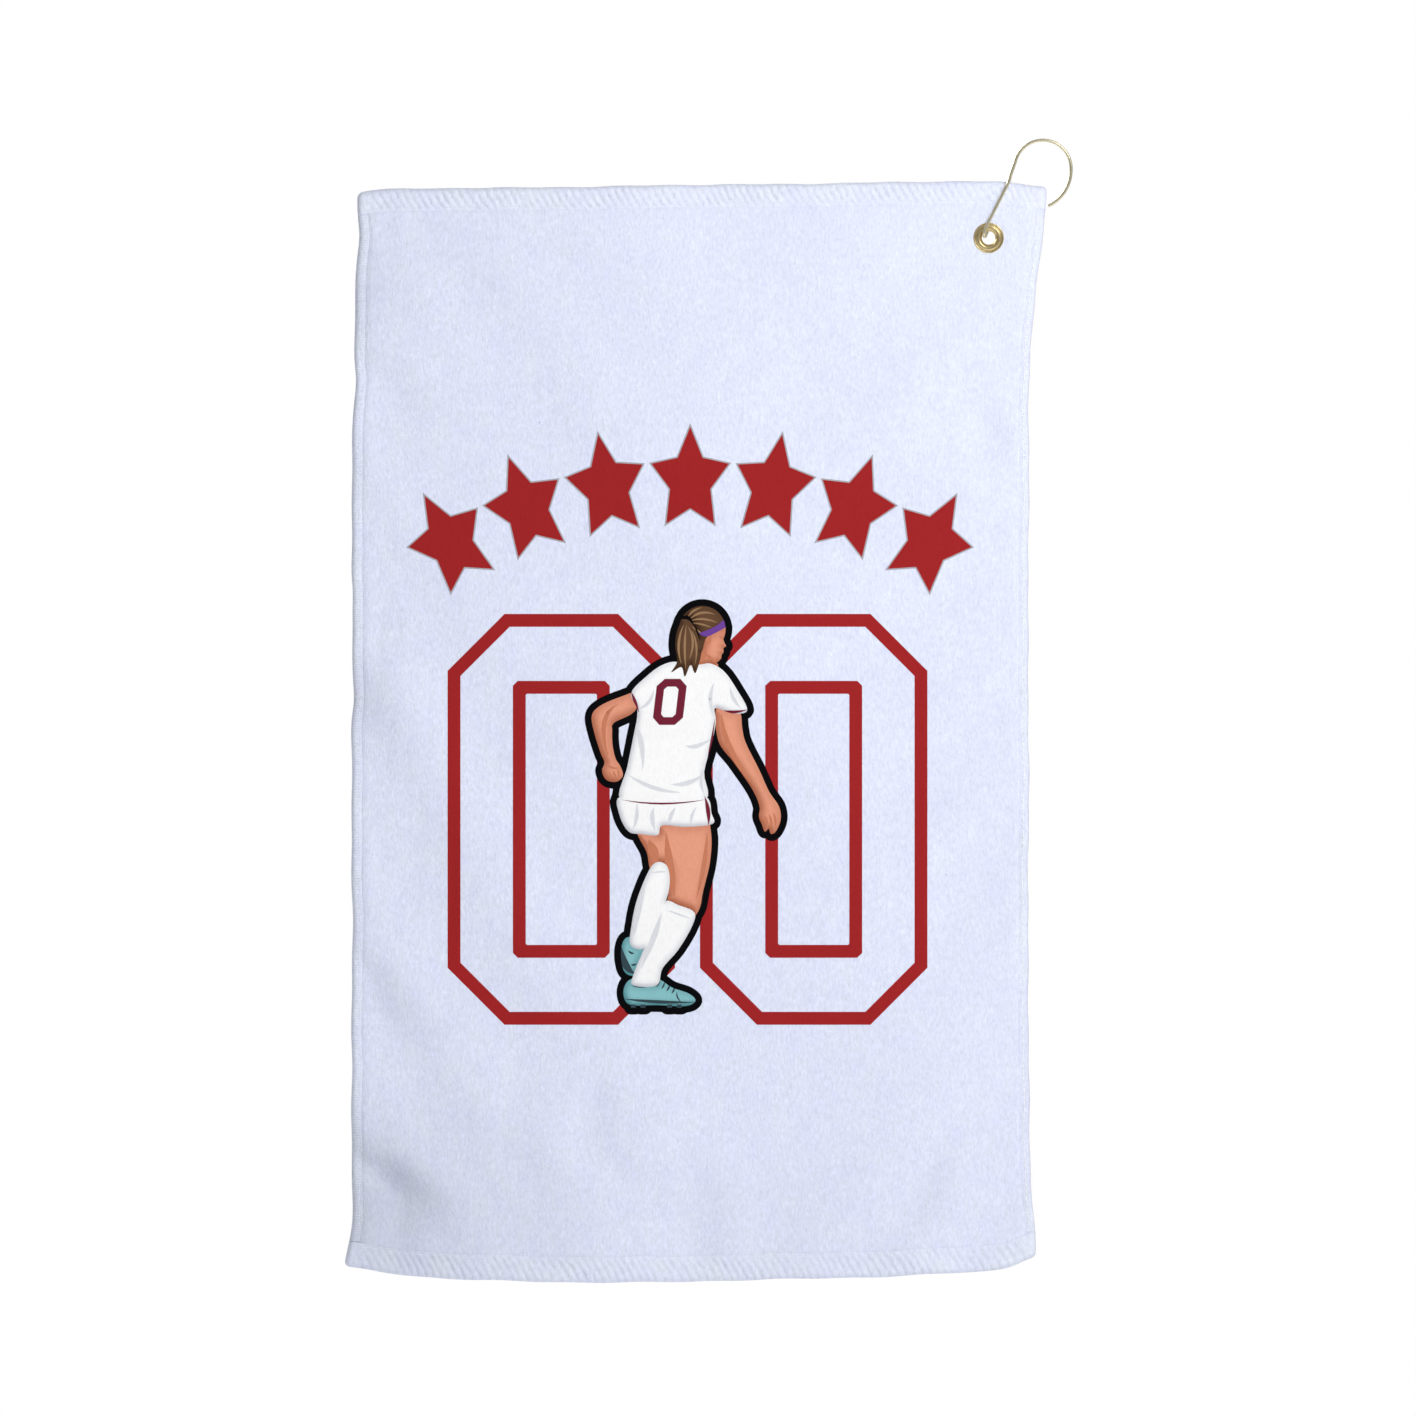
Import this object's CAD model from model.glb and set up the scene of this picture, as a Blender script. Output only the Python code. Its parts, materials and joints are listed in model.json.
"""The looks of the golf towel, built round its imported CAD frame.

Lengths are in millimetres in the towel's own plan (x from its centre line, z from its bottom edge, y as in
the frame) until a mesh is made, when they are turned into metres in the part's frame.
"""

import json
import math

import bmesh
import bpy
import numpy as np
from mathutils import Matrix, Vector
from mathutils.kdtree import KDTree


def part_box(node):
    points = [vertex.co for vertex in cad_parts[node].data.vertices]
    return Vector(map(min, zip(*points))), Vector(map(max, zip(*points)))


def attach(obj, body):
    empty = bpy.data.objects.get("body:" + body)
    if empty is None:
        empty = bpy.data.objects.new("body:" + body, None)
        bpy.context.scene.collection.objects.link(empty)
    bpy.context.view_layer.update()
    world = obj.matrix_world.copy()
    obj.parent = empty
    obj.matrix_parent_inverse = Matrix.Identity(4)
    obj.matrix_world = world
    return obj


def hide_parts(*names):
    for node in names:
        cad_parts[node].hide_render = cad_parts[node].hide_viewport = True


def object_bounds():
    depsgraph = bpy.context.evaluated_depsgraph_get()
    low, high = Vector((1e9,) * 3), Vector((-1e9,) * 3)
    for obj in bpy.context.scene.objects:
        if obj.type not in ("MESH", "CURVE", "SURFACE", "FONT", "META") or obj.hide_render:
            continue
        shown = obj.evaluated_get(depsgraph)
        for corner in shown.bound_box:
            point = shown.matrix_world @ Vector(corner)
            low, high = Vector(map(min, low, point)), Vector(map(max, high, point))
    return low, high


MM = 0.001
# Points closer than this, in metres, are one point
WELD = 1e-7
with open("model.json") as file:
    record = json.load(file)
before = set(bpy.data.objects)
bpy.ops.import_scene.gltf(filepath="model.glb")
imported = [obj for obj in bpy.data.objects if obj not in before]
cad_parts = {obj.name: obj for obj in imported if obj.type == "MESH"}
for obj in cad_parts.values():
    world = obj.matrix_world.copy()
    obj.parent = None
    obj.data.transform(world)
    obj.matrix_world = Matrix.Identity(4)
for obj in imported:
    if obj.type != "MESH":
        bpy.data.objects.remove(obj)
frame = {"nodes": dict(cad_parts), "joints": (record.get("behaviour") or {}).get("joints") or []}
cad_low, cad_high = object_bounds()
swing = frame["joints"][0]

# ----- Sizes, as in the CAD -----

WIDTH, HEIGHT = 279.4, 452.4
CLOTH, FOLD = 2.4, 2.0
TOP_HEM, BOTTOM_HEM, LEFT_HEM, RIGHT_HEM = 9.3, 10.5, 4.3, 3.7
SEAM_INSET = 1.4
GROMMET_X, GROMMET_Z = 123.2, 430.563
HOLE_R, FLANGE_R, FLANGE_H, CRIMP, BARREL = 3.175, 6.3, 0.95, 0.4, 0.35
WIRE_R, ARC_R, TAIL_DRIFT = 0.65, 11.7, 4.0
HOOK_LEAN, LEG_L, LEG_OFFSET = math.radians(26.8), 24.6, 2.9

FRONT_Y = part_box("towel_panel")[0].y / MM
BACK_Y = FRONT_Y + CLOTH
HEM_BACK_Y = BACK_Y + FOLD
MID_Y = (FRONT_Y + HEM_BACK_Y) / 2
BACK_LEG_Y = HEM_BACK_Y + 0.5 + WIRE_R
# From the towel's plan to the part's frame
SHIFT_X = swing["pos_m"][0] / MM - GROMMET_X
SHIFT_Z = swing["pos_m"][2] / MM - GROMMET_Z

# ----- The towel's outline -----


def fade(d, reach):
    """A bump that is 1 at d = 0 and has nearly gone at twice the reach."""
    return np.exp(-((d / reach) ** 2))


def ease(t):
    """Rises softly from 0 to 1 as t does."""
    t = np.clip(t, 0, 1)
    return t * t * (3 - 2 * t)


def wobble(t, seed, wavelengths, size):
    """Smooth waves along t, the same on every run."""
    phases = np.random.RandomState(seed).uniform(0, 2 * math.pi, len(wavelengths))
    return size * sum(np.sin(2 * math.pi * t / w + p) for w, p in zip(wavelengths, phases)) / len(wavelengths)


def left_x(z):
    """The left edge: drawn in at the top, flared at the foot, with small dimples where the seam pulls."""
    dimples = sum(fade(z - HEIGHT * share, 7) for share in (0.954, 0.822, 0.63, 0.53))
    wave = 0.6 * dimples + wobble(z, 1, (31, 57, 113), 0.5)
    return -WIDTH / 2 + 2.5 * fade(HEIGHT - z, 70) - 3.4 * fade(z, 16) + wave


def right_x(z):
    """The right edge, flared towards both corners."""
    wave = wobble(z, 2, (27, 63, 121), 0.5)
    return WIDTH / 2 + 7.2 * fade(HEIGHT - z, 48) + 3.4 * fade(z, 42) + wave


def top_z(x):
    """The top edge: it climbs a little to the right and droops at both corners."""
    droop = 2.2 * fade(np.maximum(WIDTH / 2 + 7.2 - x, 0), 14) + 1.1 * fade(np.maximum(x + WIDTH / 2, 0), 7)
    return HEIGHT + 0.0135 * x - droop + wobble(x, 3, (23, 49, 97), 0.35)


def bottom_z(x):
    """The bottom edge: a shallow sag, lowest left of the middle, with both corners lifted."""
    sag = 5.4 * ((x / WIDTH + 0.21) / 0.71) ** 2 - 0.8 + wobble(x, 4, (29, 61, 101), 0.45)
    left_rise = 5.6 * np.exp(-((np.maximum(x + WIDTH / 2 + 3.4, 0) / 34) ** 1.3))
    return sag + left_rise + 5 * fade(np.maximum(WIDTH / 2 + 3.4 - x, 0), 10)


def from_sides(x, z):
    """Distance to the nearer side edge."""
    return np.minimum(x - left_x(z), right_x(z) - x)


def past_side_hems(x, z):
    return np.minimum(x - left_x(z) - LEFT_HEM, right_x(z) - RIGHT_HEM - x)


def past_end_hems(x, z):
    return np.minimum(z - bottom_z(x) - BOTTOM_HEM, top_z(x) - TOP_HEM - z)


# ----- The lie of the cloth -----

# Creases as shares of half the width and of the height: start, end, width and depth in mm
CREASES = [
    ((-0.98, 0.300), (-0.84, 0.225), 6.0, 1.5),
    ((-0.99, 0.132), (-0.72, 0.045), 7.5, 3.1),
    ((-0.90, 0.090), (-0.82, 0.015), 6.0, 1.6),
    ((-0.52, 0.190), (-0.42, 0.060), 11.0, 1.2),
    ((-0.30, 0.175), (-0.20, 0.075), 9.0, 1.5),
    ((0.03, 0.125), (0.02, 0.020), 9.0, 1.2),
    ((0.80, 0.135), (0.54, 0.045), 8.0, 1.9),
    ((0.98, 0.072), (0.82, 0.008), 5.0, 1.9),
    ((0.78, 0.800), (0.96, 0.735), 8.0, 1.0),
    ((-0.97, 0.620), (-0.90, 0.480), 9.0, 1.2),
    ((-0.97, 0.860), (-0.84, 0.780), 8.0, 1.0),
    ((0.90, 0.360), (0.72, 0.290), 10.0, 1.0),
]


def crease(x, z, start, end, width, depth):
    """A valley along a line with a softer ridge above it, fading towards both ends."""
    a = np.array([start[0] * WIDTH / 2, start[1] * HEIGHT])
    b = np.array([end[0] * WIDTH / 2, end[1] * HEIGHT])
    length = np.linalg.norm(b - a)
    d = (b - a) / length
    along = ((x - a[0]) * d[0] + (z - a[1]) * d[1]) / length
    across = -(x - a[0]) * d[1] + (z - a[1]) * d[0] + 3 * np.sin(along * 2.6)
    ends = fade(along - 0.5, 0.55)
    width = width * (0.75 + 0.5 * np.clip(along, 0, 1))
    return depth * ends * (fade(across, width) - 0.7 * fade(across - 1.9 * width, 1.4 * width))


# The simulated depth at a plan point, which is none until it has been simulated
drape = {"depth": lambda x, z: 0}


def lie(x, z):
    """How far the cloth stands behind its flat place at a point, in mm."""
    # The cloth is held flat under the grommet and nearly flat round the hook.
    loose = ease((np.hypot(x - GROMMET_X, z - GROMMET_Z) - 8) / 10)
    loose = loose * (1 - fade(np.hypot(x - GROMMET_X - 6, z - GROMMET_Z - 10), 42))
    # The creases are drawn on a slightly warped plan, so that none of them is straight.
    bent_x, bent_z = x + wobble(z, 9, (47, 83), 5), z + wobble(x, 10, (39, 71), 5)
    y = sum(crease(bent_x, bent_z, *c) for c in CREASES)
    y = y + 0.5 * np.sin(x / 24 + 0.8) * fade(z, 85) + wobble(x + 0.35 * z, 5, (83, 131, 171), 0.7)
    # The bottom corners curl away.
    left_corner, right_corner = np.hypot(x + WIDTH / 2, z), np.hypot(x - WIDTH / 2, z)
    y = y + 4.5 * fade(left_corner, 38) - 1.1 * fade(left_corner, 12) + 1.5 * fade(right_corner, 30)
    return (y + drape["depth"](x, z)) * loose


# Patches where the pile leans away from the light: middle as shares of half the width and of the height,
# reach in mm, and how much darker the patch is
NAP = [
    (-0.91, 0.090, 27, 0.15),
    (-0.97, 0.030, 22, 0.08),
    (-0.76, 0.045, 24, 0.04),
    (-0.97, 0.250, 14, 0.05),
    (-0.55, 0.060, 40, 0.04),
    (-0.98, 0.520, 16, 0.05),
    (0.30, 0.040, 36, 0.03),
    (-0.97, 0.900, 14, 0.06),
]


def nap(x, z):
    return sum(dark * fade(np.hypot(x - u * WIDTH / 2, z - v * HEIGHT), reach) for u, v, reach, dark in NAP)


def paint(obj, shade):
    """Stores on each point how much darker it is than plain cloth.
    shade reads the point's plan x, depth and z."""
    co = np.zeros(len(obj.data.vertices) * 3)
    obj.data.vertices.foreach_get("co", co)
    x, y, z = co.reshape(-1, 3).T / MM
    x, z = x - SHIFT_X, z - SHIFT_Z
    layer = obj.data.attributes.new("shade", "FLOAT", "POINT")
    layer.data.foreach_set("value", shade(x, y, z) + nap(x, z))


def simulate_drape():
    """Lets a coarse copy of the towel pucker between its shrunken hems.
    Returns its depth as a function of the plan point."""
    step, frames, most = 6.5, 18, 1.3
    nx, nz = int(WIDTH / step) + 1, int(HEIGHT / step) + 1
    xs, zs = np.linspace(-WIDTH / 2, WIDTH / 2, nx), np.linspace(0, HEIGHT, nz)
    gx, gz = np.meshgrid(xs, zs, indexing="ij")
    start = 0.5 * wobble(gx + 0.6 * gz, 6, (37, 53, 91), 1) + 0.5 * wobble(gz - 0.4 * gx, 7, (41, 67, 109), 1)
    points = np.stack([gx, start, gz], -1).reshape(-1, 3) * MM
    sheet = make_mesh("drape_sheet", points, grid_quads(nx, nz))
    hem = sheet.vertex_groups.new(name="hem")
    held = sheet.vertex_groups.new(name="held")
    rim = np.minimum(np.minimum(gx + WIDTH / 2, WIDTH / 2 - gx), np.minimum(gz, HEIGHT - gz)).ravel()
    for i, d in enumerate(rim):
        hem.add([i], float(fade(d, 9)), "REPLACE")
    for i in (nz - 1, nx * nz - 1, (nx // 2) * nz + nz - 1):
        held.add([i], 1.0, "REPLACE")
    cloth = sheet.modifiers.new("Cloth", "CLOTH")
    s = cloth.settings
    s.quality, s.mass, s.air_damping = 6, 0.25, 3.0
    s.tension_stiffness = s.compression_stiffness = 14
    s.shear_stiffness, s.bending_stiffness = 6, 1.6
    s.vertex_group_mass, s.pin_stiffness = "held", 1.0
    s.vertex_group_shrink, s.shrink_min, s.shrink_max = "hem", 0.0, 0.022
    s.effector_weights.gravity = 0.05
    scene = bpy.context.scene
    cloth.point_cache.frame_start, cloth.point_cache.frame_end = 1, frames
    for number in range(1, frames + 1):
        scene.frame_set(number)
    result = sheet.evaluated_get(bpy.context.evaluated_depsgraph_get())
    co = np.zeros(len(result.data.vertices) * 3)
    result.data.vertices.foreach_get("co", co)
    depth = co.reshape(-1, 3)[:, 1].reshape(nx, nz) / MM
    scene.frame_set(1)
    bpy.data.objects.remove(sheet)
    depth = depth - np.median(depth)
    # A pucker fades out softly at the most that it may reach.
    depth = most * np.tanh(depth / max(np.percentile(np.abs(depth), 90), 0.4) * 0.8)

    def sample(x, z):
        """The depth between the grid's points, without corners at them."""
        u = np.clip((x + WIDTH / 2) / WIDTH * (nx - 1), 0, nx - 1.001)
        v = np.clip(z / HEIGHT * (nz - 1), 0, nz - 1.001)
        i, j = u.astype(int), v.astype(int)
        u, v = ease(u - i), ease(v - j)
        low = depth[i, j] * (1 - u) + depth[i + 1, j] * u
        high = depth[i, j + 1] * (1 - u) + depth[i + 1, j + 1] * u
        return low * (1 - v) + high * v

    return sample


def face_y(x, z):
    """The face of the velour between the hems, with its dimple under the grommet and its dip at each hem."""
    to_side, to_end = past_side_hems(x, z), past_end_hems(x, z)
    dip = np.where(x < 0, 0.26, 0.15) * fade(np.maximum(to_side, 0), 0.9) - 0.12 * fade(to_side - 3.2, 2.6)
    dip = dip + 0.05 * fade(np.maximum(to_end, 0), 1.6) - 0.08 * fade(to_end - 3.6, 2.6)
    return FRONT_Y + lie(x, z) + dip + grommet_dimple(x, z)


def grommet_dimple(x, z):
    """The cloth is pressed flat under the flange and swells round it."""
    r = np.hypot(x - GROMMET_X, z - GROMMET_Z)
    return (CRIMP + 0.06) * ease((8.4 - r) / 1.9) - 0.16 * fade(r - 9.3, 1.6)


# ----- Meshes -----


def make_mesh(name, points, faces, smooth_below=40):
    """An object of points in metres and faces that each list their points."""
    mesh = bpy.data.meshes.new(name)
    faces = faces.tolist() if isinstance(faces, np.ndarray) else faces
    mesh.from_pydata(np.asarray(points).tolist(), [], faces)
    mesh.update()
    return show(mesh, smooth_below)


def show(mesh, smooth_below):
    """Puts a mesh in the scene as an object of the same name."""
    obj = bpy.data.objects.new(mesh.name, mesh)
    bpy.context.scene.collection.objects.link(obj)
    smooth(obj, smooth_below)
    return obj


def smooth(obj, below):
    """Shades an object smooth except along edges sharper than an angle in degrees."""
    obj.data.polygons.foreach_set("use_smooth", np.ones(len(obj.data.polygons), bool))
    obj.data.set_sharp_from_angle(angle=math.radians(below))


def finish_piece(obj, node, body, slot, *materials):
    """Puts a piece in its CAD node's place, on its body, and gives it its slot and materials."""
    for material in materials:
        obj.data.materials.append(material)
    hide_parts(node)
    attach(obj, body)


def to_frame(x, y, z):
    """Plan points in mm to frame points in metres."""
    return np.stack([x + SHIFT_X, y + 0 * x, z + SHIFT_Z], -1).reshape(-1, 3) * MM


def grid_quads(nu, nv):
    """Quads of a grid whose first index runs along +x and second along +z, facing -y."""
    i, j = np.meshgrid(np.arange(nu - 1), np.arange(nv - 1), indexing="ij")
    a = (i * nv + j).ravel()
    return np.stack([a, a + nv, a + nv + 1, a + 1], -1)


def shell(name, x, z, front, back, keep=None):
    """A closed sheet between two surfaces over one grid, walled wherever the kept quads end."""
    nu, nv = x.shape
    quads = grid_quads(nu, nv)
    kept = np.ones((nu - 1, nv - 1), bool) if keep is None else keep
    chosen = quads[kept.ravel()]
    count = nu * nv
    faces = chosen.tolist()
    behind = len(faces)
    faces += (chosen[:, ::-1] + count).tolist()
    walled = len(faces)
    padded = np.pad(kept, 1)
    for (du, dv), (p, q) in (((0, -1), (0, 1)), ((1, 0), (1, 2)), ((0, 1), (2, 3)), ((-1, 0), (3, 0))):
        beside = padded[1 + du:nu + du, 1 + dv:nv + dv]
        open_side = quads[(kept & ~beside).ravel()]
        a, b = open_side[:, p], open_side[:, q]
        faces += np.stack([b, a, a + count, b + count], -1).tolist()
    points = np.concatenate([to_frame(x, front, z), to_frame(x, back, z)])
    obj = make_mesh(name, points, faces)
    index = np.zeros(len(faces), np.int32)
    index[behind:walled] = 1
    obj.data.polygons.foreach_set("material_index", index)
    b = bmesh.new()
    b.from_mesh(obj.data)
    bmesh.ops.delete(b, geom=[v for v in b.verts if not v.link_faces], context="VERTS")
    bmesh.ops.remove_doubles(b, verts=b.verts, dist=WELD)
    bmesh.ops.dissolve_degenerate(b, edges=b.edges, dist=WELD / 10)
    b.to_mesh(obj.data)
    b.free()
    smooth(obj, 50)
    return obj


def graded(length, step):
    """Places from 0 to length, closer together near both ends."""
    near = np.cumsum((0, 0.45, 0.55, 0.7, 0.95, 1.25))
    middle = length - 2 * near[-1]
    count = max(int(round(middle / step)), 1)
    even = near[-1] + middle * np.arange(count + 1) / count
    return np.concatenate([near[:-1], even, (length - near[:-1])[::-1]])


# ----- The cloth between the hems -----

# How far the cloth runs on under each hem, and how far the loops behind stand up or lie down
TUCK = 1.2
LOOPS = 0.11


def plan_between(u, v):
    """Plan points of a grid that runs between the hems, from shares of the way across and up."""
    x, z = (u - 0.5) * WIDTH, v * HEIGHT
    for _ in range(6):
        x0, x1 = left_x(z) + LEFT_HEM - TUCK, right_x(z) - RIGHT_HEM + TUCK
        x = x0 + (x1 - x0) * u
        z0, z1 = bottom_z(x) + BOTTOM_HEM - TUCK, top_z(x) - TOP_HEM + TUCK
        z = z0 + (z1 - z0) * v
    return x, z


def build_cloth():
    """The sheet between the hems, with velour in front, terry behind and the hole for the barrel."""
    step = 1.6
    across = WIDTH - LEFT_HEM - RIGHT_HEM + 2 * TUCK
    up = HEIGHT - TOP_HEM - BOTTOM_HEM + 2 * TUCK
    u, v = np.meshgrid(graded(across, step) / across, graded(up, step) / up, indexing="ij")
    x, z = plan_between(u, v)
    r = np.hypot(x - GROMMET_X, z - GROMMET_Z)
    middle = (x[1:, 1:] + x[:-1, :-1]) / 2, (z[1:, 1:] + z[:-1, :-1]) / 2
    keep = np.hypot(middle[0] - GROMMET_X, middle[1] - GROMMET_Z) > HOLE_R + 1.5
    # The ring of points round the hole moves onto a circle just outside the barrel.
    gone = np.pad(~keep, 1)
    touched = gone[1:, 1:] | gone[:-1, 1:] | gone[1:, :-1] | gone[:-1, :-1]
    hole = (HOLE_R + BARREL + 0.08) / np.maximum(r, 1e-6)
    x = np.where(touched, GROMMET_X + (x - GROMMET_X) * hole, x)
    z = np.where(touched, GROMMET_Z + (z - GROMMET_Z) * hole, z)
    loops = np.random.RandomState(8).uniform(-LOOPS, LOOPS, x.shape)
    inside = np.clip((np.minimum(past_side_hems(x, z), past_end_hems(x, z)) + TUCK) / TUCK, 0, 1)
    near_ring = np.clip((r - FLANGE_R) / 2.5, 0, 1)
    behind = BACK_Y + lie(x, z) + loops * near_ring - 0.55 * (1 - inside) - (CRIMP + 0.05) * (1 - near_ring)
    obj = shell("velour_cloth", x, z, face_y(x, z) + 1.2 * (1 - inside), behind, keep)
    paint(obj, lambda x, y, z: 0 * x)
    finish_piece(obj, "towel_panel", "towel", "velour", velour(), terry())


# ----- Hems: folded margins with their woven ribs -----

# How far in the rounding of a folded edge reaches
EDGE_R = 2.3
SIDE_EDGE_R = EDGE_R - 0.2


def rounded(d, r):
    """Half thickness as a share of the full one, at distance d inside a folded edge."""
    return np.sqrt(np.maximum(1 - (1 - np.clip(d / r, 0, 1)) ** 2, 0))


def valleys(phase, sharp):
    """Narrow valleys, one at each whole number of the phase."""
    return fade(np.sin(math.pi * phase), sharp)


def square_to_round(a, b, r):
    """Rounds the corner of a plan where both distances from the edges, a and b, are below r.
    Returns the two new distances, and the distance from the rounded edge."""
    p, q = 1 - np.clip(a / r, 0, 1), 1 - np.clip(b / r, 0, 1)
    p2, q2 = p * np.sqrt(1 - q * q / 2), q * np.sqrt(1 - p * p / 2)
    inside = np.minimum(a, b)
    corner = (p > 0) & (q > 0)
    a2, b2 = np.where(corner, r * (1 - p2), a), np.where(corner, r * (1 - q2), b)
    return a2, b2, np.where(corner, r * (1 - np.hypot(p2, q2)), inside)


def edge_places(r, count):
    """Distances that step round a folded edge evenly."""
    return r * (1 - np.cos(np.linspace(0, math.pi / 2, count)))


def seam_groove(w, seam):
    """The channel that a seam presses into a hem, at distance w from the hem's edge."""
    return 0.24 * fade(w - seam, 0.55)


def end_ribs(top, front, x, w):
    """The slanting roped ribs on the front or the back of an end hem, as depth below the crest."""
    pitch, depth = 3.3, 0.6
    slant = -1 if top == front else 1
    seed = (20 if top else 30) + (0 if front else 20)
    drift = wobble(x, seed, (43, 71, 167), 0.45) + wobble(x + 3 * w, seed + 2, (7.3, 11.9, 17), 0.09)
    strength = 0.72 + wobble(x + 2 * w, seed + 1, (9, 23, 61), 0.45)
    bend = slant * (0.36 * w + 0.022 * w * w)
    return depth * strength * valleys((x + bend) / pitch + drift, 0.5)


def ribbed(side, to_seam):
    """How fully the ribs of an end hem stand: not at the corners, and less towards the seam."""
    return np.clip(side / 7 - 0.2, 0, 1), 0.25 + 0.75 * np.clip(to_seam / 3, 0, 1)


def end_surface(top, x, z, w, d):
    """Front and back of an end hem at plan points, from the distance w to its long edge and d to any edge."""
    width = TOP_HEM if top else BOTTOM_HEM
    side = from_sides(x, z)
    inland, faded = ribbed(side, width - w)
    ribs = end_ribs(top, True, x, w) * inland * faded
    crease_in = 0.07 * fade(width - w, 0.9)
    cushion = 0.20 * np.sin(math.pi * np.clip(w / width, 0, 1))
    groove = 0.3 * seam_groove(w, width - SEAM_INSET) * np.clip(side / 6, 0, 1)
    thick = rounded(d, EDGE_R)
    lump = 0.3 * fade(side, 7) * (0 if top else 1)
    front = MID_Y - (MID_Y - FRONT_Y - ribs - crease_in - groove + cushion + lump) * thick
    behind = end_ribs(top, False, x, w) * inland * 0.7
    inner = rounded(width - w, 1.1)
    back = MID_Y + (HEM_BACK_Y - MID_Y - behind - groove * 0.8) * thick * inner
    return front + lie(x, z), back + lie(x, z)


def build_end_hem(top):
    """The fold along the whole top or bottom edge, rounded at the towel's corners."""
    columns, rows = 590, 14
    width = TOP_HEM if top else BOTTOM_HEM
    over = edge_places(EDGE_R, 7)
    w = np.concatenate([over, np.linspace(EDGE_R, width, rows)[1:]])
    ends = edge_places(EDGE_R, 6)
    middle = np.linspace(EDGE_R, WIDTH - EDGE_R, columns)[1:-1]
    s = np.concatenate([ends, middle, (WIDTH - ends)[::-1]]) / WIDTH
    # The second index runs along +z, so the top hem counts its depth down towards its edge.
    depth = w[::-1] if top else w
    u, d = np.meshgrid(s, depth, indexing="ij")
    x, z = (u - 0.5) * WIDTH, np.where(top, HEIGHT - d, d)
    for _ in range(6):
        x0, x1 = left_x(z), right_x(z)
        from_left, from_right = u * (x1 - x0), (1 - u) * (x1 - x0)
        near_left = from_left < from_right
        a2, b2, edge = square_to_round(np.minimum(from_left, from_right), d, EDGE_R + 0.2)
        x = np.where(near_left, x0 + a2, x1 - a2)
        z = top_z(x) - b2 if top else bottom_z(x) + b2
    front, back = end_surface(top, x, z, d, edge)
    obj = shell("top_hem_fold" if top else "bottom_hem_fold", x, z, front, back)

    def shade(x, y, z):
        depth = top_z(x) - z if top else z - bottom_z(x)
        inland, faded = ribbed(from_sides(x, z), width - depth)
        seen = y < MID_Y + lie(x, z)
        return 0.16 * seen * inland * faded * end_ribs(top, True, x, depth)

    paint(obj, shade)
    weave = hem_weave(False)
    finish_piece(obj, "top_hem" if top else "bottom_hem", "towel", "terry", weave, weave)


def side_rows(left, z):
    """The fine crosswise rows of a side hem, from 0 on a crest to 1 in a valley."""
    return valleys(z / 1.05 + wobble(z, 60 + left, (17, 39), 0.3), 0.75)


def side_surface(left, x, z, w):
    """Front and back of a side hem at plan points, from the distance w to its edge."""
    width = LEFT_HEM if left else RIGHT_HEM
    rows = side_rows(left, z)
    middle = np.clip((w - 0.7) / 0.5, 0, 1) * np.clip((width - 0.7 - w) / 0.5, 0, 1)
    ribs = (0.07 + 0.21 * middle) * rows * (0.8 + wobble(z, 62 + left, (7, 23, 53), 0.4))
    cushion = 0.05 * np.sin(math.pi * np.clip(w / width, 0, 1))
    crease_in = (0.24 if left else 0.10) * fade(width - w, 0.9)
    groove = 0.3 * seam_groove(w, width - SEAM_INSET)
    tuck = 1 - np.clip((past_end_hems(x, z) + TUCK) / (1.6 * TUCK), 0, 1)
    thick = rounded(w, SIDE_EDGE_R) * (1 - 0.45 * tuck)
    front = MID_Y - (MID_Y - FRONT_Y - ribs - crease_in - groove + cushion) * thick
    back = MID_Y + (HEM_BACK_Y - MID_Y - ribs - groove * 0.8) * thick * rounded(width - w, 0.9)
    return front + lie(x, z), back + lie(x, z)


def build_side_hem(left):
    """The fold down a side, whose ends tuck in under the end hems."""
    row_step = 0.24
    width = LEFT_HEM if left else RIGHT_HEM
    w = np.concatenate([edge_places(SIDE_EDGE_R, 6), np.linspace(SIDE_EDGE_R, width, 6)[1:]])
    length = HEIGHT - TOP_HEM - BOTTOM_HEM + 2 * TUCK
    v = np.linspace(0, 1, int(length / row_step))
    across = w if left else w[::-1]
    d, share = np.meshgrid(across, v, indexing="ij")
    x, z = np.where(left, -WIDTH / 2 + d, WIDTH / 2 - d), share * HEIGHT
    for _ in range(6):
        z0, z1 = bottom_z(x) + BOTTOM_HEM - TUCK, top_z(x) - TOP_HEM + TUCK
        z = z0 + (z1 - z0) * share
        x = left_x(z) + d if left else right_x(z) - d
    front, back = side_surface(left, x, z, d)
    obj = shell("left_hem_fold" if left else "right_hem_fold", x, z, front, back)
    paint(obj, lambda x, y, z: 0.055 * side_rows(left, z))
    weave = hem_weave(True)
    finish_piece(obj, "left_hem" if left else "right_hem", "towel", "terry", weave, weave)


# ----- Stitches -----

THREAD_R = 0.21
# Room left free at each end of a seam
END_ROOM, SIDE_ROOM = 5, 12


def tube(path, radius, sides):
    """Points and faces of a closed tube along a path, with its radius at each point of the path."""
    n = len(path)
    ahead = np.gradient(path, axis=0)
    ahead /= np.linalg.norm(ahead, axis=1)[:, None]
    side = np.zeros_like(path)
    s = np.cross(ahead[0], [0, 1, 0.001])
    for i in range(n):
        s = s - ahead[i] * (s @ ahead[i])
        s /= np.linalg.norm(s)
        side[i] = s
    other = np.cross(ahead, side)
    angle = np.arange(sides) * 2 * math.pi / sides
    ring = (np.cos(angle)[None, :, None] * side[:, None] + np.sin(angle)[None, :, None] * other[:, None])
    points = (path[:, None] + radius[:, None, None] * ring).reshape(-1, 3)
    i, j = np.meshgrid(np.arange(n - 1), np.arange(sides), indexing="ij")
    a, b = (i * sides + j).ravel(), (i * sides + (j + 1) % sides).ravel()
    faces = np.stack([a, b, b + sides, a + sides], -1).tolist()
    faces.append(list(range(sides))[::-1])
    faces.append([(n - 1) * sides + k for k in range(sides)])
    return points, faces


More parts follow.
